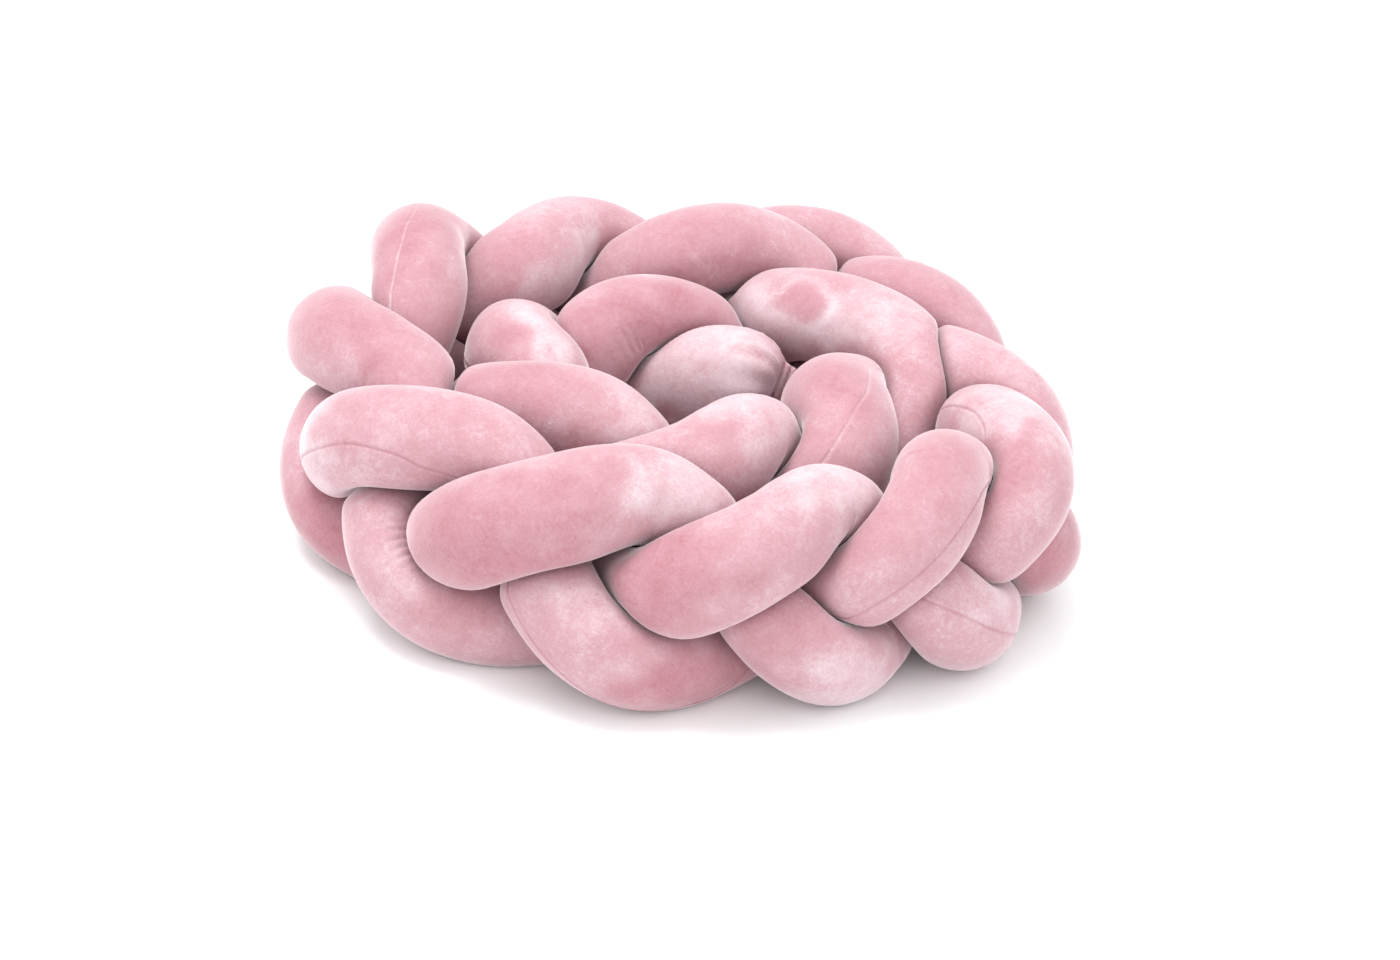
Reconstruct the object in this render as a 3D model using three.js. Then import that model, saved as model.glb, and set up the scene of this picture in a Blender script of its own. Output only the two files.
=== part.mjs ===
// A plaited crib bumper: three stuffed velvet tubes in one three-strand plait, which stands on its edge
// and is coiled into a spiral. Millimetres, +Z up. The origin is on the floor, under the middle of the
// coil's box.
import * as THREE from "three";

// Driving dimensions
const TUBE_RADIUS = 34; // a stuffed tube where nothing presses on it
const TUBE_GAP = 3.2; // left between two tubes that are pressed together
const FLOOR_PRESS = 4; // how far the weight presses the underside of a low tube flat
const COIL_CENTRE = { x: -11.5, y: -16.5 }; // the spiral's own centre, seen from the origin
const PLAIT_SLIP = 14; // degrees by which a tube swings outwards after it starts to come down
const PLAIT_START = 0.4; // where the tubes begin, counted in crossings
const STATION_STEP = 0.2; // crossings between the points that a tube's centre line is drawn through

// The crossings of the plait, from the outer end to the inner one. A crossing is where one tube passes over
// the top. azimuth is its place on the spiral in degrees from +X, radius its distance from the spiral's
// centre, rise half the height between the upper and lower tubes, and swing how far a tube goes outwards
// and inwards. girth is the share of its girth that the upper tube keeps where the plait is pulled tight,
// and lean the angle by which the lower tubes run ahead of the upper ones, or behind them below zero.
const CROSSING_COLUMNS = ["azimuth", "radius", "rise", "swing", "girth", "lean"];
const CROSSINGS = [
  [92, 248, 40, 28, 1, 0],
  [69, 240, 40, 20, 1, 0],
  [38, 214, 41, 13, 1, 0],
  [11, 207, 37, 16, 1, 0],
  [-16, 237, 42, 16, 0.91, 1],
  [-40, 231, 48, 17, 0.86, 3],
  [-64, 209, 42, 19, 0.87, 3],
  [-99, 198, 45.5, 24, 1, 0],
  [-137.5, 193, 44.5, 21, 0.98, -1.5],
  [-173, 195, 45, 24, 0.96, -3],
  [-209, 207, 55, 22, 0.95, 0],
  [-241, 196, 45, 25, 1, 0],
  [-278, 170, 51, 25, 1, 0],
  [-326, 155, 45, 26, 0.97, -2],
  [-384, 131, 43, 21, 1, 0],
  [-427, 120, 42, 20, 1, 0],
  [-492, 110, 44, 22, 1, 0],
  [-549, 103, 39, 21, 1, 0],
  [-607, 82, 41, 18, 1, 0],
  [-660, 60, 38, 16, 1, 0],
];

// The loose ends in the middle of the coil, one for each tube: the crossing where it leaves the plait, and
// the points that its middle goes through from there. x and y are measured from the spiral's centre.
const LOOSE_ENDS = [
  {
    from: 17.5,
    points: [
      [-55, 51, 101], [-35, 67, 113], [-5, 85, 109], [27, 97, 90],
      [49, 79, 62], [47, 43, 40], [25, 3, 31],
    ],
  },
  {
    from: 17.3,
    points: [
      [-69, 51, 31], [-55, 71, 40], [-31, 75, 60], [-1, 61, 82],
      [29, 50, 92], [57, 46, 93], [83, 42, 87],
    ],
  },
  {
    from: 17.3,
    points: [
      [-97, 67, 90], [-85, 95, 64], [-61, 115, 40], [-21, 117, 31],
      [19, 115, 31],
    ],
  },
];
const LOOSE_GIRTH = 0.97; // share of its girth that a loose end keeps
const STRANDS = 3;
const TURN_PER_CROSSING = 360 / STRANDS;

// How a tube gives way
const EDGE_SOFTNESS = 9; // a higher value makes a squarer edge where a tube is pressed flat
const CORNER_SOFTNESS = 5; // and one where two others press on it side by side
const GIRTH_RANGE = [0.95, 1.1]; // how far a pressed tube swells to keep its girth, as shares of its radius
const GIRTH_PASSES = 3;
const BEND_SHARE = 0.75; // how near the inside of a bend comes to the bend's centre
const BEND_SPAN = 10; // the length before and after a section over which its bend is taken
const OWN_REACH = 3.6 * TUBE_RADIUS; // a tube can press on itself only past this length along it
const PRESS_REACH = 4.4 * TUBE_RADIUS; // tubes further apart than this don't meet

// The gathered ends
const END_LENGTH = 40; // the length over which a tube closes
const END_TUCK = 3; // how far the gathers are drawn into the end

// Faces
const RING_POINTS = 18;
const LONG_STEPS = 140;
const END_STEPS = 4;
const CENTRE_STEPS = 360; // points of each centre line that the other tubes are pressed by

// One column pair of the crossings as a smooth curve along the plait.
function columnCurve(first, second) {
  const a = CROSSING_COLUMNS.indexOf(first);
  const b = CROSSING_COLUMNS.indexOf(second);
  return new THREE.SplineCurve(CROSSINGS.map((row) => new THREE.Vector2(row[a], row[b])));
}

const spiral = columnCurve("azimuth", "radius");
const plait = columnCurve("rise", "swing");
const pull = columnCurve("girth", "lean");

// One point of a tube's centre line in the plait, and the tube's radius there where nothing presses on it.
function plaitStation(strand, crossing) {
  const along = crossing / (CROSSINGS.length - 1);
  const { x: azimuth, y: radius } = spiral.getPoint(along);
  const { x: rise, y: swing } = plait.getPoint(along);
  const { x: girth, y: lean } = pull.getPoint(along);
  const phase = THREE.MathUtils.degToRad(TURN_PER_CROSSING * (crossing - strand));
  const upper = (1 + Math.cos(phase)) / 2;
  const reach = radius + swing * Math.sin(2 * phase - THREE.MathUtils.degToRad(PLAIT_SLIP));
  const turn = THREE.MathUtils.degToRad(azimuth - lean * (1 - upper));
  const point = new THREE.Vector3(
    COIL_CENTRE.x + reach * Math.cos(turn),
    COIL_CENTRE.y + reach * Math.sin(turn),
    TUBE_RADIUS - FLOOR_PRESS + 2 * rise * upper,
  );
  return { point, free: TUBE_RADIUS * THREE.MathUtils.lerp(1, girth, upper) };
}

// The centre line of one tube: round the spiral, over, out, under and in through the plait, and then along
// the loose end in the middle of the coil.
class StrandCurve extends THREE.CatmullRomCurve3 {
  constructor(strand) {
    const { from, points } = LOOSE_ENDS[strand];
    const stations = [];
    for (let crossing = PLAIT_START; crossing < from; crossing += STATION_STEP) {
      stations.push(plaitStation(strand, crossing));
    }
    for (const [x, y, z] of points) {
      const point = new THREE.Vector3(COIL_CENTRE.x + x, COIL_CENTRE.y + y, z);
      stations.push({ point, free: TUBE_RADIUS * LOOSE_GIRTH });
    }
    super(stations.map(({ point }) => point));
    this.freeRadii = stations.map(({ free }) => free);
    this.arcLengthDivisions = 1200;
  }

  // The radius of the tube where nothing presses on it, at a share of its length.
  freeRadiusAt(u) {
    const place = this.getUtoTmapping(u) * (this.freeRadii.length - 1);
    const before = Math.min(Math.floor(place), this.freeRadii.length - 2);
    return THREE.MathUtils.lerp(this.freeRadii[before], this.freeRadii[before + 1], place - before);
  }
}

// The sections of a tube: how far along it each lies, and how much of the full radius it has. They close up
// towards the gathered ends, which are round.
function sectionsOf(length) {
  const sections = [];
  for (let i = 1; i <= END_STEPS; i++) {
    const turn = (i / END_STEPS) * (Math.PI / 2);
    sections.push({ at: END_LENGTH * (1 - Math.cos(turn)), share: Math.sin(turn) });
  }
  const mirrored = sections.map(({ at, share }) => ({ at: length - at, share })).reverse();
  const plain = length - 2 * END_LENGTH;
  for (let i = 1; i < LONG_STEPS; i++) {
    sections.push({ at: END_LENGTH + (plain * i) / LONG_STEPS, share: 1 });
  }
  return [...sections, ...mirrored];
}

// The frames of a centre line at its sections. They turn as little as they can from one section to the
// next. bend points to the centre of the bend, and its length is one over the bend's radius.
function framesOf(curve, sections, length) {
  const frames = [];
  let side = new THREE.Vector3(0, 0, 1);
  for (const { at, share } of sections) {
    const u = at / length;
    const point = curve.getPointAt(u);
    const along = curve.getTangentAt(u);
    const before = curve.getTangentAt(Math.max(0, u - BEND_SPAN / length));
    const after = curve.getTangentAt(Math.min(1, u + BEND_SPAN / length));
    const bend = after.sub(before).divideScalar(2 * BEND_SPAN);
    side = side.clone().addScaledVector(along, -side.dot(along)).normalize();
    const across = along.clone().cross(side);
    frames.push({ at, share, point, bend, side, across, free: curve.freeRadiusAt(u) });
  }
  return frames;
}

// The least of several lengths, with a soft change from one to the next.
function softLeast(lengths, softness) {
  return lengths.reduce((sum, length) => sum + length ** -softness, 0) ** (-1 / softness);
}

// How far the tube can reach from a section's middle in one direction before it meets the plane halfway to
// another tube, or the centre of its own bend.
function reachOf({ bend }, direction, neighbours) {
  const reaches = new Array(STRANDS).fill(Infinity);
  for (const { other, towards, distance } of neighbours) {
    const facing = direction.dot(towards);
    if (facing > 0) reaches[other] = Math.min(reaches[other], (distance - TUBE_GAP) / (2 * facing));
  }
  const reach = softLeast(reaches, CORNER_SOFTNESS);
  const inwards = direction.dot(bend);
  return inwards > 0 ? Math.min(reach, BEND_SHARE / inwards) : reach;
}

// The points of the centre lines that are near a section: whose they are, their direction and distance.
function neighboursOf(frame, strand, centreLines) {
  const near = [];
  centreLines.forEach(({ points, length }, other) => {
    points.forEach((point, i) => {
      const gone = Math.abs((length * i) / CENTRE_STEPS - frame.at);
      if (other === strand && gone < OWN_REACH) return;
      const distance = point.distanceTo(frame.point);
      if (distance > PRESS_REACH) return;
      near.push({ other, towards: point.clone().sub(frame.point).divideScalar(distance), distance });
    });
  });
  return near;
}

// The rings of points of one tube. A pressed ring swells elsewhere, so that it keeps the girth of a free
// one.
function ringsOf(frames, strand, centreLines) {
  const angles = Array.from({ length: RING_POINTS }, (_, k) => (2 * Math.PI * k) / RING_POINTS);
  const directions = frames.map(({ side, across }) =>
    angles.map((angle) =>
      side.clone().multiplyScalar(Math.cos(angle)).addScaledVector(across, Math.sin(angle)),
    ),
  );
  const reaches = frames.map((frame, i) => {
    const neighbours = neighboursOf(frame, strand, centreLines);
    return directions[i].map((direction) => reachOf(frame, direction, neighbours));
  });
  let radii = frames.map(({ free }) => free);
  for (let pass = 0; pass < GIRTH_PASSES; pass++) {
    const swollen = radii.map((radius, i) => {
      const pressed = reaches[i].map((reach) => softLeast([radius, reach], EDGE_SOFTNESS));
      const ring = directions[i].map((d, k) => d.clone().multiplyScalar(pressed[k]));
      const girth = ring.reduce((sum, p, k) => sum + p.distanceTo(ring[(k + 1) % RING_POINTS]), 0);
      const { free } = frames[i];
      const wanted = radius * ((2 * Math.PI * free) / girth);
      return THREE.MathUtils.clamp(wanted, free * GIRTH_RANGE[0], free * GIRTH_RANGE[1]);
    });
    radii = swollen.map((radius, i) => {
      const before = swollen[Math.max(i - 1, 0)];
      const after = swollen[Math.min(i + 1, swollen.length - 1)];
      return (before + 2 * radius + after) / 4;
    });
  }
  const rings = frames.map(({ point, share }, i) =>
    directions[i].map((direction, k) =>
      point.clone().addScaledVector(direction, share * softLeast([radii[i], reaches[i][k]], EDGE_SOFTNESS)),
    ),
  );
  return rings.map((ring, i) =>
    ring.map((point, k) => {
      const placed = point.clone().addScaledVector(directions[i][k], -hollowDepth(rings, directions, i, k));
      placed.z = Math.max(placed.z, 0);
      return placed;
    }),
  );
}

// How far the straight edges along the tube would stand out at a point in the hollow of a bend.
function hollowDepth(rings, directions, i, k) {
  if (i === 0 || i === rings.length - 1) return 0;
  const chord = rings[i - 1][k].clone().lerp(rings[i + 1][k], 0.5).sub(rings[i][k]);
  return Math.max(0, chord.dot(directions[i][k])) / 4;
}

// The two triangles of a four-sided face, split along its shorter diagonal.
function quadFaces(points, a, b, c, d) {
  if (points[a].distanceTo(points[c]) < points[b].distanceTo(points[d])) return [a, b, c, a, c, d];
  return [a, b, d, b, c, d];
}

// One closed surface: rings of points, and a tucked-in point in the middle of each gathered end.
function closedTube(rings, firstTuck, lastTuck) {
  const points = [...rings.flat(), firstTuck, lastTuck];
  const first = points.length - 2;
  const last = points.length - 1;
  const faces = [];
  const lastRing = (rings.length - 1) * RING_POINTS;
  for (let k = 0; k < RING_POINTS; k++) {
    const next = (k + 1) % RING_POINTS;
    faces.push(first, next, k);
    for (let row = 0; row < lastRing; row += RING_POINTS) {
      const above = row + RING_POINTS;
      faces.push(...quadFaces(points, row + k, row + next, above + next, above + k));
    }
    faces.push(last, lastRing + k, lastRing + next);
  }
  const geometry = new THREE.BufferGeometry().setFromPoints(points);
  geometry.setIndex(faces);
  geometry.computeVertexNormals();
  return geometry;
}

function strandMesh(curve, strand, centreLines) {
  const { length } = centreLines[strand];
  const frames = framesOf(curve, sectionsOf(length), length);
  const rings = ringsOf(frames, strand, centreLines);
  const firstTuck = curve.getPointAt(END_TUCK / length);
  const lastTuck = curve.getPointAt(1 - END_TUCK / length);
  const velvet = new THREE.MeshStandardMaterial({ color: 0xd9a0ab, roughness: 0.9, metalness: 0 });
  const mesh = new THREE.Mesh(closedTube(rings, firstTuck, lastTuck), velvet);
  mesh.name = `strand_${strand + 1}`;
  return mesh;
}

const curves = Array.from({ length: STRANDS }, (_, strand) => new StrandCurve(strand));
const centreLines = curves.map((curve) => ({
  points: curve.getSpacedPoints(CENTRE_STEPS),
  length: curve.getLength(),
}));

const bumper = new THREE.Group();
curves.forEach((curve, strand) => bumper.add(strandMesh(curve, strand, centreLines)));

export default bumper;
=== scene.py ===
"""A plaited crib bumper of stuffed velvet tubes, coiled on its edge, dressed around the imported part."""
import math

import bpy
import numpy as np
from mathutils import Matrix, Vector


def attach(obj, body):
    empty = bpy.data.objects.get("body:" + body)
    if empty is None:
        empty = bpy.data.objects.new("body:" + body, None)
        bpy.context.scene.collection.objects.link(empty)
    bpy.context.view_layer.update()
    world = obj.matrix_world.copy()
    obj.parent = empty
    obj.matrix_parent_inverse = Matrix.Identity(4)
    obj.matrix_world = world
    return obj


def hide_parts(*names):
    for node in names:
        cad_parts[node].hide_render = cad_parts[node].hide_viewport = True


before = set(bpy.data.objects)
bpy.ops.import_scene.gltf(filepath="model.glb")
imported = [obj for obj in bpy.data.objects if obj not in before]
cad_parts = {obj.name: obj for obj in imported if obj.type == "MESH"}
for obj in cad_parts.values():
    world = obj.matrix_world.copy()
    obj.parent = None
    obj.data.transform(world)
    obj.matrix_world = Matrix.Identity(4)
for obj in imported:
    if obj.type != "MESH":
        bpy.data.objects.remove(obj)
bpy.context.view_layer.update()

# The plait, in millimetres, with the values of the part's own solids
MM = 0.001
STRANDS = 3
TUBE_RADIUS = 34.0
TUBE_GAP = 0.8  # the pile of two tubes that press on each other
FLOOR_PRESS = 4.0
COIL_CENTRE = (-11.5, -16.5)
PLAIT_SLIP = 14.0
PLAIT_START = 0.4
STATION_STEP = 0.2
# azimuth, radius, rise, swing, girth and lean of each crossing, from the outer end to the inner one
CROSSINGS = (
    (92, 248, 40, 28, 1, 0),
    (69, 240, 40, 20, 1, 0),
    (38, 214, 41, 13, 1, 0),
    (11, 207, 37, 16, 1, 0),
    (-16, 237, 42, 16, 0.91, 1),
    (-40, 231, 48, 17, 0.86, 3),
    (-64, 209, 42, 19, 0.87, 3),
    (-99, 198, 45.5, 24, 1, 0),
    (-137.5, 193, 44.5, 21, 0.98, -1.5),
    (-173, 195, 45, 24, 0.96, -3),
    (-209, 207, 55, 22, 0.95, 0),
    (-241, 196, 45, 25, 1, 0),
    (-278, 170, 51, 25, 1, 0),
    (-326, 155, 45, 26, 0.97, -2),
    (-384, 131, 43, 21, 1, 0),
    (-427, 120, 42, 20, 1, 0),
    (-492, 110, 44, 22, 1, 0),
    (-549, 103, 39, 21, 1, 0),
    (-607, 82, 41, 18, 1, 0),
    (-660, 60, 38, 16, 1, 0),
)
# the loose end of each tube in the middle of the coil: the crossing where it leaves the plait, and the points
# that it goes through
LOOSE_ENDS = (
    (17.5, (
        (-55, 51, 101),
        (-35, 67, 113),
        (-5, 85, 109),
        (27, 97, 90),
        (49, 79, 62),
        (47, 43, 40),
        (25, 3, 31),
    )),
    (17.3, (
        (-69, 51, 31),
        (-55, 71, 40),
        (-31, 75, 60),
        (-1, 61, 82),
        (29, 50, 92),
        (57, 46, 93),
        (83, 42, 87),
    )),
    (17.3, (
        (-97, 67, 90),
        (-85, 95, 64),
        (-61, 115, 40),
        (-21, 117, 31),
        (19, 115, 31),
    )),
)
LOOSE_GIRTH = 0.97

# How closely the centre lines are followed
FINE_POINTS = 8001
PLACE_POINTS = 4001
ALONG_REACH = 0.5
PRESS_STEP = 3.0

# How a tube gives way
EDGE_SOFTNESS = 9.0
CORNER_SOFTNESS = 5.0
GIRTH_RANGE = (0.95, 1.1)
GIRTH_PASSES = 3
GIRTH_BLUR = 17
BEND_SHARE = 0.75
BEND_SPAN = 6.0
OWN_REACH = 3.6 * TUBE_RADIUS
PRESS_REACH = 4.4 * TUBE_RADIUS
FAR = 1e6
LEAST_FACING = 1e-3
LEAST_BEND = 1e-6

# The stuffing's push
CLOTH_STEP = 5.0
CLOTH_RING = 44
CLOTH_START = 0.985  # share of the pressed shape that the fabric starts from
CLOTH_HOLD = 0.02  # how firmly the stuffing holds the fabric in place
CLOTH_SLACK = 0.5  # how much longer the fabric is inside a tight bend
SLACK_FROM, SLACK_TO = 0.3, 0.7  # the tube's reach over the bend's radius where the slack begins and is whole
CLOTH_CAP = 4.0
CLOTH_FRAMES = 14

# Faces
SECTION_STEP = 3.0
END_ZONE = 44.0
RING_EVEN = 74
RING_BY_SEAM = (0.7, 1.5, 2.4, 3.5)  # distances from the seam of the closer columns, in millimetres

# The one lengthwise seam of each tube: the crossing, and its turn about the tube in degrees
SEAM_TURNS = (
    (
        (0.4, 180), (4.2, 215), (4.6, 258), (4.8, 267), (5.0, 261), (5.1, 254), (5.5, 205), (6.0, 150),
        (19, 150),
    ),
    (
        (0.4, 120), (3.3, 100), (3.82, 72), (3.95, 69), (4.07, 72), (4.25, 92), (4.7, 112), (9.0, 100),
        (9.5, 10), (9.66, -6), (9.79, -8), (9.92, 0), (10.1, 15), (10.5, 8), (12.2, -40), (13.7, -45),
        (15.4, -160), (19, -160),
    ),
    (
        (0.4, 200), (2.6, 250), (3.4, 290), (4.3, 280), (4.7, 240), (4.95, 245), (5.2, 264), (5.42, 269),
        (5.6, 270), (6.0, 262), (6.63, 225), (6.74, 213), (6.84, 205), (6.94, 212), (7.11, 225), (7.19, 231),
        (7.6, 240), (7.96, 246), (8.12, 259), (8.25, 266), (8.49, 258), (9.5, 240), (13.6, 262), (14.09, 285),
        (14.2, 299), (14.37, 306), (15.2, 270), (16.5, 230), (19, 220),
    ),
)
SEAM_DEPTH = 0.7
SEAM_WIDTH = 0.8
SEAM_LIP = 0.2
SEAM_LIP_AT = 2.0
# how much paler the nap is along the seam, or darker below zero
SEAM_TONES = (
    ((0.4, -0.3), (19, -0.3)),
    ((0.4, -0.3), (8.6, -0.3), (9.4, 0.6), (10.6, 0.6), (11.6, -0.3), (19, -0.3)),
    ((0.4, -0.3), (12.6, -0.3), (13.6, 0.4), (14.8, 0.4), (15.8, -0.3), (19, -0.3)),
)

# The sewn ends: the distance from the end, and the shares of the radius that are left across and through the
# closing
END_PROFILE = (
    (1.8, 0.40, 0.012),
    (0.6, 0.50, 0.035),
    (0.1, 0.54, 0.065),
    (0.0, 0.56, 0.085),
    (0.6, 0.575, 0.115),
    (1.7, 0.585, 0.125),
    (2.8, 0.59, 0.105),
    (3.6, 0.59, 0.07),
    (4.2, 0.59, 0.055),
    (4.8, 0.595, 0.08),
    (5.9, 0.605, 0.135),
    (7.1, 0.615, 0.15),
    (8.2, 0.62, 0.125),
    (9.0, 0.625, 0.08),
    (9.6, 0.63, 0.06),
    (10.2, 0.64, 0.10),
    (11.2, 0.66, 0.23),
    (13.0, 0.70, 0.41),
    (16.0, 0.77, 0.59),
    (20.0, 0.845, 0.745),
    (26.0, 0.925, 0.88),
    (34.0, 0.98, 0.965),
    (44.0, 1.0, 1.0),
)
END_TIP = 3  # the row at the very end
GATHERS = 15
GATHER_DEPTH = 0.06
GATHER_START, GATHER_RISE, GATHER_FADE = 8.0, 4.0, 30.0

# Where the pile was brushed the other way, and where shade and light are painted in: some darker marks are
# painted shade on shaded sides and in creases, and some paler ones are painted light in the coil's hollow and
# a painted highlight.
# Each row: the tube, the crossing and turn of the mark's middle, its half length and half width in
# millimetres, and how much paler it is, or darker below zero
NAP_AND_PAINTED_LIGHT_MARKS = (
    (2, 12.84, 69, 20, 20, 0.3),
    (2, 12.84, 69, 13, 14, -1.1),
    (2, 12.75, 96, 42, 28, 0.5),
    (2, 13.1, 80, 45, 35, 0.3),
    (2, 13.3, 54, 35, 30, 0.15),
    # painted light: lifts the shade in the coil's hollow on the inner end
    (2, 18.25, 40, 62, 50, 0.6),
    (2, 18.33, 30, 5, 4, -0.35),
    (2, 18.42, 22, 6, 4, -0.3),
    (2, 18.22, 50, 5, 5, -0.25),
    # partly brushed pile, partly a painted highlight on the tube's pale end
    (3, 8.5, 268, 28, 40, 0.45),
    (2, 6.72, 340, 35, 45, 0.4),
    (2, 6.95, 345, 6, 18, 0.2),
    (2, 7.42, 305, 55, 45, -0.4),
    (1, 6.6, 300, 35, 45, -0.45),
    (1, 5.75, 315, 40, 45, 0.4),
    (1, 6.08, 336, 8, 14, 0.15),
    (3, 6.7, 264, 24, 28, -0.4),
    (3, 7.0, 285, 25, 25, 0.3),
    (3, 6.4, 262, 25, 30, -0.3),
    (3, 6.6, 258, 55, 40, -0.25),
    # painted shade on the shaded left side of this tube
    (1, 9.13, 303, 42, 38, -0.4),
    (1, 9.0, 262, 20, 18, 0.3),
    (2, 10.05, 12, 38, 45, -0.4),
    (3, 11.1, 30, 20, 35, 0.3),
    (3, 10.9, 48, 38, 25, 0.45),
    (1, 11.9, 25, 45, 25, -0.25),
    (1, 17.82, 30, 45, 35, -0.4),
    (3, 16.83, 322, 34, 13, 0.6),
    (3, 16.94, 288, 13, 14, -0.35),
    (2, 16.15, 340, 30, 30, -0.25),
    (2, 15.6, 336, 20, 25, 0.3),
    (1, 14.95, 325, 30, 45, 0.4),
    (1, 15.15, 336, 20, 20, -0.2),
    (3, 14.0, 310, 25, 25, -0.3),
    (2, 4.0, 40, 25, 40, 0.5),
    (2, 4.4, 0, 30, 15, 0.25),
    (2, 4.45, 30, 28, 30, -0.3),
    (3, 5.05, 312, 25, 30, -0.2),
    (3, 5.6, 290, 20, 20, 0.25),
    (2, 6.12, 280, 20, 30, -0.35),
    (2, 5.78, 285, 25, 35, 0.4),
    (1, 4.96, 297, 20, 20, 0.3),
    (3, 4.15, 205, 35, 45, -0.6),
    (2, 8.78, 298, 45, 45, -0.45),
    (2, 8.95, 330, 20, 15, 0.35),
    (1, 7.72, 290, 20, 20, -0.25),
    (1, 7.9, 294, 24, 14, 0.35),
    (1, 3.0, 350, 30, 40, 0.25),
)

# the uneven edges of the marks: a wave's share, its length along the tube, and how often it goes round
MARK_EDGES_ALONG = (
    (0.18, 5.3, 5),
    (0.14, -9.7, 8),
)
MARK_EDGES_AROUND = (
    (0.18, 6.7, -6),
    (0.14, 3.9, 3),
)

# Puckers, where a tube is pushed together: the tube, crossing and turn of the middle, half the length and
# width, and the depth and spacing of the folds
PUCKERS = (
    (1, 7.94, 310, 20, 10, 2.6, 5.4),
    (1, 17.74, 50, 14, 10, 1.4, 6.0),
    (1, 11.87, 52, 16, 10, 1.4, 6.0),
)
PUCKER_STEP = 1.0
PUCKER_SPAN = 1.4

# The velvet: a place on the scale from flattened to raised pile, which in places carries painted shade and
# painted light, and its colour
VELVET_TONES = (
    (0.1, (0.36, 0.148, 0.177)),
    (0.55, (0.46, 0.263, 0.298)),
    (1.0, (0.6, 0.488, 0.518)),
)
TONE_MIDDLE = 0.55
MARK_LEAST, MARK_BREAKS = 0.35, 0.4  # how much of a mark shows everywhere, and how much in places
# scale, distortion and share of each layer of the nap
TONE_LAYERS = (
    (13, 0.0, 0.55),
    (32, 1.2, 0.25),
    (70, 1.6, 0.18),
    (150, 0.5, 0.16),
    (320, 0.0, 0.25),
    (700, 0.0, 0.38),
)
# small scuffs with clear edges: scale, how much of the noise they leave out, and how much paler they are
SCUFFS = (
    (58, 0.6, 0.1),
    (41, 0.62, -0.12),
)
SCUFF_EDGE = 9.0
LINT_SCALE, LINT_SIZE, LINT_TONE = 30, 0.02, 0.4
PILE_SCALES = (900, 240)

# The floor and the light, in metres
FLOOR_SIZE = 30
FLOOR_DROP = 0.0005
FLOOR_COLOUR = (0.93, 0.98, 0.975)
WORLD_STRENGTH = 1.3
LIGHT_AIM = Vector((0, 0, 0.05))

# The camera, in metres, and where the photograph has the point that it aims at
CAMERA_AIM = Vector((0.0005, -0.0295, 0.075))
CAMERA_ELEVATION = math.radians(28)
CAMERA_ROLL = math.radians(4)
CAMERA_DISTANCE = 2.0
SENSOR_WIDTH = 36
FOCAL_PIXELS = 3000
IMAGE_WIDTH, IMAGE_HEIGHT = 1400, 960
AIM_PIXEL = (680, 440)


def catmull(values, at):
    """A smooth line through values at 0, 1, 2 and so on."""
    v = np.asarray(values, float)
    padded = np.concatenate([v[:1], v, v[-1:]])
    i = np.clip(np.floor(at).astype(int), 0, len(v) - 2)
    t = at - i
    a, b, c, d = (padded[i + k] for k in range(4))
    square = (2 * a - 5 * b + 4 * c - d) * t**2
    cube = (3 * b - a - 3 * c + d) * t**3
    return 0.5 * (2 * b + (c - a) * t + square + cube)


def smooth_rows(rows, at):
    """A smooth line through the rows of a short table of places and values."""
    places, values = (np.array(column, float) for column in zip(*rows))
    rates = np.diff(values) / np.diff(places)
    before, after = rates[:-1], rates[1:]
    agree = before * after > 0
    shared = np.where(agree, 2 * before * after / np.where(agree, before + after, 1), 0)
    slopes = np.concatenate([[0], shared, [0]])
    i = np.clip(np.searchsorted(places, at) - 1, 0, len(rows) - 2)
    step = places[i + 1] - places[i]
    t = np.clip((at - places[i]) / step, 0, 1)
    ahead = t * t * (3 - 2 * t)
    leave, arrive = t * (1 - t) ** 2 * step * slopes[i], t * t * (t - 1) * step * slopes[i + 1]
    return values[i] + (values[i + 1] - values[i]) * ahead + leave + arrive


def plait_stations(strand, crossing):
    """Points of a tube's middle in the plait, and its radius there where nothing presses on it."""
    azimuth, radius, rise, swing, girth, lean = (catmull(column, crossing) for column in zip(*CROSSINGS))
    phase = np.radians(360 / STRANDS) * (crossing - strand)
    upper = (1 + np.cos(phase)) / 2
    reach = radius + swing * np.sin(2 * phase - np.radians(PLAIT_SLIP))
    turn = np.radians(azimuth - lean * (1 - upper))
    points = np.stack([
        COIL_CENTRE[0] + reach * np.cos(turn),
        COIL_CENTRE[1] + reach * np.sin(turn),
        TUBE_RADIUS - FLOOR_PRESS + 2 * rise * upper,
    ], -1)
    return points, TUBE_RADIUS * (1 + (girth - 1) * upper)


def curve_through(spots, at):
    """The smooth curve through spots, at places counted in spots."""
    ends = np.concatenate([[2 * spots[0] - spots[1]], spots, [2 * spots[-1] - spots[-2]]])
    i = np.clip(np.floor(at).astype(int), 0, len(spots) - 2)
    t = (at - i)[:, None]
    a, b, c, d = (ends[i + k] for k in range(4))
    pairs = (a, b), (b, c), (c, d)
    first, middle, last = (np.sqrt(np.linalg.norm(q - p, axis=1))[:, None] for p, q in pairs)
    leave = middle * ((b - a) / first - (c - a) / (first + middle) + (c - b) / middle)
    arrive = middle * ((c - b) / middle - (d - b) / (middle + last) + (d - c) / last)
    return b + leave * t + (3 * (c - b) - 2 * leave - arrive) * t**2 + (2 * (b - c) + leave + arrive) * t**3


def lengths_along(points):
    return np.concatenate([[0.0], np.cumsum(np.linalg.norm(np.diff(points, axis=0), axis=1))])


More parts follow.
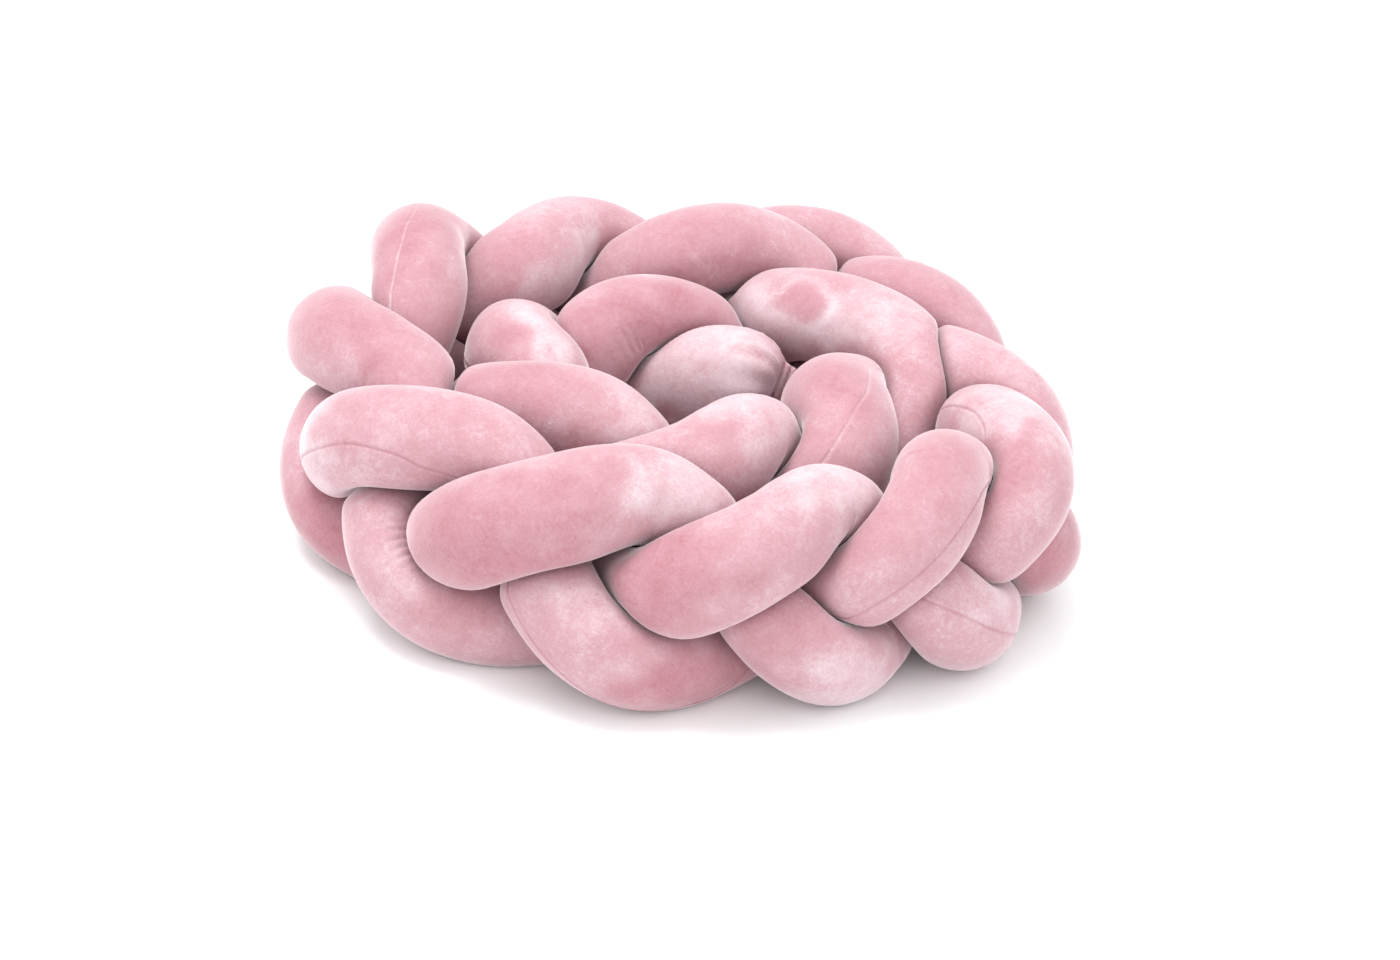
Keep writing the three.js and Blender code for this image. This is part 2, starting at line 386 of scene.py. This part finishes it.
class Strand:
    """The centre line of one tube, by length."""

    def __init__(self, number):
        self.number = number
        leaves, loose = LOOSE_ENDS[number]
        points, free = plait_stations(number, np.arange(PLAIT_START, leaves, STATION_STEP))
        self.spots = np.concatenate([points, np.array(loose, float) + (*COIL_CENTRE, 0)])
        self.free = np.concatenate([free, np.full(len(loose), TUBE_RADIUS * LOOSE_GIRTH)])
        self.fine = np.linspace(0, len(self.spots) - 1, FINE_POINTS)
        self.fine_length = lengths_along(curve_through(self.spots, self.fine))
        self.length = self.fine_length[-1]
        self.knots = np.linspace(0, self.length, int(self.length))
        self.knot_sides = np.zeros((len(self.knots), 3))
        last = np.array([0.0, 0.0, 1.0])
        for i, along in enumerate(self.along(self.knots)):
            last = last - along * (last @ along)
            last /= np.linalg.norm(last)
            self.knot_sides[i] = last

    def place(self, at):
        return np.interp(at, self.fine_length, self.fine)

    def crossing(self, at):
        return PLAIT_START + STATION_STEP * self.place(at)

    def points(self, at):
        return curve_through(self.spots, self.place(at))

    def free_radius(self, at):
        return np.interp(self.place(at), np.arange(len(self.free)), self.free)

    def along(self, at):
        before, after = np.maximum(at - ALONG_REACH, 0), np.minimum(at + ALONG_REACH, self.length)
        along = self.points(after) - self.points(before)
        return along / np.linalg.norm(along, axis=1, keepdims=True)

    def across(self, at):
        """Two directions across the tube, which turn as little as they can along it."""
        along = self.along(at)
        side = np.stack([np.interp(at, self.knots, column) for column in self.knot_sides.T], -1)
        side -= along * (side * along).sum(1, keepdims=True)
        side /= np.linalg.norm(side, axis=1, keepdims=True)
        return side, np.cross(along, side)

    def bend(self, at):
        """Towards the centre of the bend, with one over its radius for a length."""
        before, after = np.maximum(at - BEND_SPAN, 0), np.minimum(at + BEND_SPAN, self.length)
        return (self.along(after) - self.along(before)) / (2 * BEND_SPAN)


strands = [Strand(number) for number in range(STRANDS)]


def pressing_points():
    """Points of every centre line, with the tube that each belongs to and how far along it lies."""
    spots, owners, places = [], [], []
    for strand in strands:
        at = np.arange(0, strand.length, PRESS_STEP)
        spots.append(strand.points(at))
        owners.append(np.full(len(at), strand.number))
        places.append(at)
    return np.concatenate(spots), np.concatenate(owners), np.concatenate(places)


PRESSING = pressing_points()


def reach_limits(strand, at, points, towards):
    """How far a tube can reach in each direction: to the plane halfway to a neighbour, and a share of the way
    to the centre of its bend."""
    spots, owners, places = PRESSING
    limits = np.full((STRANDS, *towards.shape[:2]), FAR)
    for i, point in enumerate(points):
        apart = spots - point
        far = np.linalg.norm(apart, axis=1)
        own = (owners == strand.number) & (np.abs(places - at[i]) < OWN_REACH)
        close = (far < PRESS_REACH) & ~own
        for number in set(owners[close].tolist()):
            near = close & (owners == number)
            facing = towards[i] @ (apart[near] / far[near, None]).T
            halfway = (far[near] - TUBE_GAP) / (2 * np.maximum(facing, LEAST_FACING))
            limits[number, i] = np.where(facing > LEAST_FACING, halfway, FAR).min(1)
    limit = (limits**-CORNER_SOFTNESS).sum(0) ** (-1 / CORNER_SOFTNESS)
    inwards = (towards * strand.bend(at)[:, None]).sum(2)
    bent = np.where(inwards > LEAST_BEND, BEND_SHARE / np.maximum(inwards, LEAST_BEND), FAR)
    return np.minimum(limit, bent)


def soft_least(radius, limit):
    """The least of the two, rounded where they meet."""
    return (radius**-EDGE_SOFTNESS + limit**-EDGE_SOFTNESS) ** (-1 / EDGE_SOFTNESS)


def swollen_radius(free, towards, limit):
    """The radius at each section that keeps the girth of a free tube."""
    radius = free.copy()
    least, most = (free * share for share in GIRTH_RANGE)
    blur = np.hanning(GIRTH_BLUR)
    blur /= blur.sum()
    for _ in range(GIRTH_PASSES):
        loop = towards * soft_least(radius[:, None], limit)[..., None]
        girth = np.linalg.norm(np.roll(loop, -1, 1) - loop, axis=2).sum(1)
        radius = np.clip(radius * 2 * np.pi * free / girth, least, most)
        radius = np.convolve(np.pad(radius, GIRTH_BLUR // 2, mode="edge"), blur, "valid")
    return radius


def pressed_tube(strand, at, angle):
    """The middle of each section, the direction of each turn, and how far the tube may and does reach."""
    points = strand.points(at)
    side, across = strand.across(at)
    towards = np.cos(angle)[..., None] * side[:, None] + np.sin(angle)[..., None] * across[:, None]
    limit = reach_limits(strand, at, points, towards)
    radius = swollen_radius(strand.free_radius(at), towards, limit)
    return points, towards, limit, soft_least(radius[:, None], limit)


def tube_faces(sections, ring):
    """Quads between rings of points, and a fan to a last point at each end."""
    first, last = sections * ring, sections * ring + 1
    faces = []
    for k in range(ring):
        n = (k + 1) % ring
        faces.append((first, n, k))
        for i in range(0, (sections - 1) * ring, ring):
            faces.append((i + k, i + n, i + ring + n, i + ring + k))
        faces.append((last, (sections - 1) * ring + k, (sections - 1) * ring + n))
    return faces


def closed_mesh(name, surface):
    """A closed tube through rings of points in millimetres."""
    points = np.concatenate([surface.reshape(-1, 3), surface[[0, -1]].mean(1)]) * MM
    mesh = bpy.data.meshes.new(name)
    mesh.from_pydata(points.tolist(), [], tube_faces(*surface.shape[:2]))
    piece = bpy.data.objects.new(name, mesh)
    bpy.context.scene.collection.objects.link(piece)
    return piece


def stuffing_push(strand):
    """How far the stuffing moves the fabric out of the pressed shape, by section and turn.

    A short cloth simulation: the fabric starts slightly slim, and is slack inside the bends."""
    at = np.linspace(0, strand.length, int(strand.length / CLOTH_STEP))
    turn = np.arange(CLOTH_RING) * 2 * np.pi / CLOTH_RING
    points, towards, limit, reach = pressed_tube(strand, at, np.tile(turn, (len(at), 1)))
    start = points[:, None] + towards * (CLOTH_START * reach)[..., None]
    piece = closed_mesh("stuffing", start)
    inwards = (towards * strand.bend(at)[:, None]).sum(2) * reach
    slack = piece.vertex_groups.new(name="slack")
    hold = piece.vertex_groups.new(name="hold")
    shares = np.clip((inwards.ravel() - SLACK_FROM) / (SLACK_TO - SLACK_FROM), 0, 1)
    for i, share in enumerate(shares.tolist()):
        slack.add([i], share, "REPLACE")
    hold.add(list(range(len(piece.data.vertices))), CLOTH_HOLD, "REPLACE")
    cloth = piece.modifiers.new("cloth", "CLOTH")
    fabric = cloth.settings
    fabric.quality = 3
    fabric.mass = 0.15
    fabric.tension_stiffness = 15
    fabric.compression_stiffness = 15
    fabric.shear_stiffness = 5
    fabric.bending_stiffness = 0.05
    fabric.use_pressure = True
    fabric.uniform_pressure_force = 4
    fabric.effector_weights.gravity = 0
    fabric.vertex_group_shrink = slack.name
    fabric.shrink_min = 0
    fabric.shrink_max = -CLOTH_SLACK
    fabric.vertex_group_mass = hold.name
    fabric.pin_stiffness = 1
    cloth.point_cache.frame_start = 1
    cloth.point_cache.frame_end = CLOTH_FRAMES
    for now in range(1, CLOTH_FRAMES + 1):
        bpy.context.scene.frame_set(now)
    settled = piece.evaluated_get(bpy.context.evaluated_depsgraph_get())
    places = np.empty(len(piece.data.vertices) * 3, np.float32)
    settled.data.vertices.foreach_get("co", places)
    mesh = piece.data
    bpy.data.objects.remove(piece)
    bpy.data.meshes.remove(mesh)
    bpy.context.scene.frame_set(1)
    moved = places.reshape(-1, 3)[:-2].reshape(start.shape) / MM - start
    moved -= moved.mean(1, keepdims=True)
    pushed = CLOTH_START * reach + (moved * towards).sum(2)
    return np.clip(pushed - reach, -CLOTH_CAP, np.minimum(CLOTH_CAP, limit - reach))


def ring_turns():
    """The columns of a tube as turns from its seam, closer beside the seam."""
    close = np.array(RING_BY_SEAM) / TUBE_RADIUS
    free = np.linspace(close[-1], 2 * np.pi - close[-1], RING_EVEN)
    return np.concatenate([[0.0], close[:-1], free, 2 * np.pi - close[-2::-1]])


def place_of(strand, crossing):
    """How far along the tube a crossing lies."""
    places = np.linspace(0, strand.length, PLACE_POINTS)
    return np.interp(crossing, strand.crossing(places), places)


def section_places(strand):
    """Where the sections lie along a tube: the sewn ends have their own, and puckers have closer ones."""
    closing = np.array([row[0] for row in END_PROFILE])
    count = int((strand.length - 2 * END_ZONE) / SECTION_STEP)
    plain = np.linspace(END_ZONE, strand.length - END_ZONE, count)[1:-1]
    for number, crossing, _, long, *_ in PUCKERS:
        if number == strand.number + 1:
            middle = place_of(strand, crossing)
            close = np.arange(middle - PUCKER_SPAN * long, middle + PUCKER_SPAN * long, PUCKER_STEP)
            free = (plain < close[0] - PUCKER_STEP) | (plain > close[-1] + PUCKER_STEP)
            plain = np.sort(np.concatenate([plain[free], close]))
    return closing, plain


def seam_line(beside):
    """How much of the seam there is at a distance from it."""
    return np.exp(-((beside / SEAM_WIDTH) ** 2))


def end_shares(turned):
    """The share of the radius that a sewn end leaves at each turn from its closing, with the gathers."""
    rows = np.array(END_PROFILE)
    distance, wide, thick = rows[:, 0:1], rows[:, 1:2], rows[:, 2:3]
    share = 1 / np.sqrt((np.cos(turned) / wide) ** 2 + (np.sin(turned) / thick) ** 2)
    fade = np.clip((END_ZONE - distance) / GATHER_FADE, 0, 1)
    fade = fade * np.clip((distance - GATHER_START) / GATHER_RISE, 0, 1)
    return share * (1 + GATHER_DEPTH * fade * np.cos(GATHERS * turned + 2 * np.sin(3 * turned)))


def tube_surface(strand):
    """The points of a tube's fabric, by section and turn, and how much paler it is there, for its nap and in
    places as painted shade and painted light.
    """
    closing, plain = section_places(strand)
    at = np.concatenate([closing, plain, strand.length - closing[::-1]])
    crossing = strand.crossing(at)
    seam = np.radians(smooth_rows(SEAM_TURNS[strand.number], crossing))
    from_seam = ring_turns()
    angle = seam[:, None] + from_seam[None]
    points, towards, limit, reach = pressed_tube(strand, at, angle)
    side, across = strand.across(at)
    reach = reach + between_points(stuffing_push(strand), at / strand.length, angle)
    reach = reach - pucker_depths(strand, at, angle)
    beside = np.minimum(from_seam, 2 * np.pi - from_seam) * TUBE_RADIUS
    groove = SEAM_DEPTH * seam_line(beside) - SEAM_LIP * seam_line(beside - SEAM_LIP_AT)
    reach = reach - groove[None]

    count = len(closing)
    for ends in (np.arange(count), np.arange(len(at) - count, len(at))[::-1]):
        tip = ends[END_TIP]
        lying = math.atan2(across[tip, 2], side[tip, 2])
        reach[ends] *= end_shares(angle[ends] - lying)
    surface = points[:, None] + towards * reach[..., None]
    surface[..., 2] = np.maximum(surface[..., 2], 0)
    tone = nap_and_painted_light_marks(strand, at, angle)
    tone += smooth_rows(SEAM_TONES[strand.number], crossing)[:, None] * seam_line(beside)
    return surface, tone


def from_middle(strand, at, angle, crossing, turn):
    """How far each point lies from a crossing and a turn, along the tube and around it."""
    along = at[:, None] - place_of(strand, crossing)
    around = (angle - math.radians(turn) + np.pi) % (2 * np.pi) - np.pi
    return along, around * TUBE_RADIUS


def pucker_depths(strand, at, angle):
    """Short uneven folds across the tube."""
    depth = np.zeros(angle.shape)
    for number, crossing, turn, long, wide, deep, spacing in PUCKERS:
        if number != strand.number + 1:
            continue
        along, around = from_middle(strand, at, angle, crossing, turn)
        patch = np.exp(-(((along / long) ** 2 + (around / wide) ** 2) ** 2))
        wander = 1.2 * np.sin(around / 4) + 0.9 * np.sin(along / 13)
        fold = np.sin(2 * np.pi * along / spacing + wander)
        depth += deep * patch * (0.5 + 0.5 * fold)
    return depth


def waves(rows, at, angle):
    return sum(share * np.sin(at[:, None] / long + times * angle) for share, long, times in rows)


def nap_and_painted_light_marks(strand, at, angle):
    """How much paler or darker each point is, in patches with uneven edges: nap lying the other way, and in
    places painted shade and painted light.
    """
    tone = np.zeros(angle.shape)
    stray_along = waves(MARK_EDGES_ALONG, at, angle)
    stray_around = waves(MARK_EDGES_AROUND, at, angle)
    for number, crossing, turn, long, wide, paler in NAP_AND_PAINTED_LIGHT_MARKS:
        if number != strand.number + 1:
            continue
        along, around = from_middle(strand, at, angle, crossing, turn)
        apart = (along / long + stray_along) ** 2 + (around / wide + stray_around) ** 2
        tone += paler * np.exp(-(apart**2))
    return tone


def between_points(grid, along, angle):
    """A smooth value between the points of a grid of sections and turns."""
    sections, ring = grid.shape
    u, v = along * (sections - 1), angle % (2 * np.pi) * ring / (2 * np.pi)
    i, j = np.floor(u).astype(int), np.floor(v).astype(int)
    total = np.zeros(angle.shape)
    for a, share_a in enumerate(cubic_shares(u - i)):
        for b, share_b in enumerate(cubic_shares(v - j)):
            row = np.clip(i + a - 1, 0, sections - 1)[:, None]
            total += share_a[:, None] * share_b * grid[row, (j + b - 1) % ring]
    return total


def cubic_shares(t):
    """The shares of four points in a row in a value t of the way from the second to the third."""
    return (1 - t) ** 3 / 6, (3 * t**3 - 6 * t**2 + 4) / 6, (3 * (t + t**2 - t**3) + 1) / 6, t**3 / 6


def strand_object(strand, material):
    """One tube, with the tone of its nap at each point, and in places painted shade and painted light."""
    surface, tone = tube_surface(strand)
    piece = closed_mesh(f"velvet_tube_{strand.number + 1}", surface)
    mesh = piece.data
    mesh.polygons.foreach_set("use_smooth", [True] * len(mesh.polygons))
    mesh.materials.append(material)
    nap = mesh.attributes.new("nap", "FLOAT", "POINT")
    nap.data.foreach_set("value", np.concatenate([tone.ravel(), [0, 0]]).astype(np.float32))
    mesh.update()
    return piece


def velvet_material():
    material = bpy.data.materials.new("velvet")
    material.use_nodes = True
    tree = material.node_tree
    shader = tree.nodes["Principled BSDF"]
    shader.inputs["Roughness"].default_value = 0.9
    shader.inputs["Sheen Weight"].default_value = 0.85
    shader.inputs["Sheen Roughness"].default_value = 0.35
    shader.inputs["Sheen Tint"].default_value = (0.97, 0.89, 0.92, 1.0)
    shader.inputs["Specular IOR Level"].default_value = 0.1

    where = tree.nodes.new("ShaderNodeTexCoord")

    def noise(scale, detail, roughness, distortion=0.0):
        node = tree.nodes.new("ShaderNodeTexNoise")
        node.inputs["Scale"].default_value = scale
        node.inputs["Detail"].default_value = detail
        node.inputs["Roughness"].default_value = roughness
        node.inputs["Distortion"].default_value = distortion
        tree.links.new(where.outputs["Object"], node.inputs["Vector"])
        return node.outputs["Fac"]

    def maths(operation, first, second):
        node = tree.nodes.new("ShaderNodeMath")
        node.operation = operation
        for socket, value in zip(node.inputs, (first, second)):
            if isinstance(value, float):
                socket.default_value = value
            else:
                tree.links.new(value, socket)
        return node.outputs[0]

    # the marks listed in the table, nap and painted shade and light, broken up, and then broad tones, brush
    # strokes and the grain of the pile
    nap = tree.nodes.new("ShaderNodeAttribute")
    nap.attribute_name = "nap"
    broken = maths("ADD", maths("MULTIPLY", noise(24, 1, 0.4, 1.0), MARK_BREAKS), MARK_LEAST)
    tone = maths("ADD", maths("MULTIPLY", nap.outputs["Fac"], broken), TONE_MIDDLE)
    for scale, distortion, share in TONE_LAYERS:
        layer = maths("SUBTRACT", noise(scale, 2, 0.6, distortion), 0.5)
        tone = maths("ADD", tone, maths("MULTIPLY", layer, share))
    for scale, least, share in SCUFFS:
        scuff = maths("MULTIPLY", maths("SUBTRACT", noise(scale, 3, 0.65, 1.2), least), SCUFF_EDGE)
        scuff = maths("MINIMUM", maths("MAXIMUM", scuff, 0.0), 1.0)
        tone = maths("ADD", tone, maths("MULTIPLY", scuff, share))
    lint = tree.nodes.new("ShaderNodeTexVoronoi")
    lint.inputs["Scale"].default_value = LINT_SCALE
    tree.links.new(where.outputs["Object"], lint.inputs["Vector"])
    speck = maths("LESS_THAN", lint.outputs["Distance"], LINT_SIZE)
    tone = maths("ADD", tone, maths("MULTIPLY", speck, LINT_TONE))
    ramp = tree.nodes.new("ShaderNodeValToRGB")
    stops = ramp.color_ramp.elements
    stops.new(TONE_MIDDLE)
    for stop, (position, colour) in zip(stops, VELVET_TONES):
        stop.position = position
        stop.color = (*colour, 1)
    tree.links.new(tone, ramp.inputs["Fac"])
    tree.links.new(ramp.outputs["Color"], shader.inputs["Base Color"])

    bump = tree.nodes.new("ShaderNodeBump")
    bump.inputs["Strength"].default_value = 0.3
    bump.inputs["Distance"].default_value = 0.0008
    fine, coarse = (noise(scale, 2, 0.6) for scale in PILE_SCALES)
    tree.links.new(maths("ADD", fine, coarse), bump.inputs["Height"])
    tree.links.new(bump.outputs["Normal"], shader.inputs["Normal"])
    return material


def plain_material(name, colour, roughness):
    material = bpy.data.materials.new(name)
    material.use_nodes = True
    shader = material.node_tree.nodes["Principled BSDF"]
    shader.inputs["Base Color"].default_value = (*colour, 1)
    shader.inputs["Roughness"].default_value = roughness
    return material


velvet = velvet_material()
for strand in strands:
    piece = strand_object(strand, velvet)
    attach(piece, "root")
    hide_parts(f"strand_{strand.number + 1}")

# The floor
bpy.ops.mesh.primitive_plane_add(size=FLOOR_SIZE, location=(0, 0, -FLOOR_DROP))
floor = bpy.context.object
floor.name = "floor"
floor.data.materials.append(plain_material("pale_floor", FLOOR_COLOUR, 0.9))

# The light
scene = bpy.context.scene
scene.view_settings.view_transform = "Standard"
world = bpy.data.worlds.new("studio")
world.use_nodes = True
sky = world.node_tree.nodes["Background"]
sky.inputs["Color"].default_value = (1.0, 1.0, 1.0, 1)
sky.inputs["Strength"].default_value = WORLD_STRENGTH
scene.world = world


def area_light(name, place, size, power):
    data = bpy.data.lights.new(name, "AREA")
    data.shape = "DISK"
    data.size = size
    data.energy = power
    lamp = bpy.data.objects.new(name, data)
    lamp.location = place
    lamp.rotation_euler = (LIGHT_AIM - Vector(place)).to_track_quat("-Z", "Y").to_euler()
    scene.collection.objects.link(lamp)


area_light("key", place=(-0.6, 0.05, 2.6), size=1.5, power=52)
area_light("fill", place=(0.3, -2.6, 1.8), size=3, power=18)

# The camera
back = Vector((0, -math.cos(CAMERA_ELEVATION), math.sin(CAMERA_ELEVATION)))
level = Vector((1, 0, 0))
above = back.cross(level)
right = level * math.cos(CAMERA_ROLL) + above * math.sin(CAMERA_ROLL)
up = above * math.cos(CAMERA_ROLL) - level * math.sin(CAMERA_ROLL)
ahead = -back + right * (IMAGE_WIDTH / 2 - AIM_PIXEL[0]) / FOCAL_PIXELS
ahead -= up * (IMAGE_HEIGHT / 2 - AIM_PIXEL[1]) / FOCAL_PIXELS
ahead.normalize()
up = (up - ahead * up.dot(ahead)).normalized()
right = ahead.cross(up)
camera_data = bpy.data.cameras.new("camera")
camera_data.sensor_width = SENSOR_WIDTH
camera_data.lens = SENSOR_WIDTH * FOCAL_PIXELS / IMAGE_WIDTH
camera = bpy.data.objects.new("camera", camera_data)
turned = Matrix((right, up, -ahead)).transposed()
camera.matrix_world = Matrix.Translation(CAMERA_AIM + back * CAMERA_DISTANCE) @ turned.to_4x4()
scene.collection.objects.link(camera)
scene.camera = camera
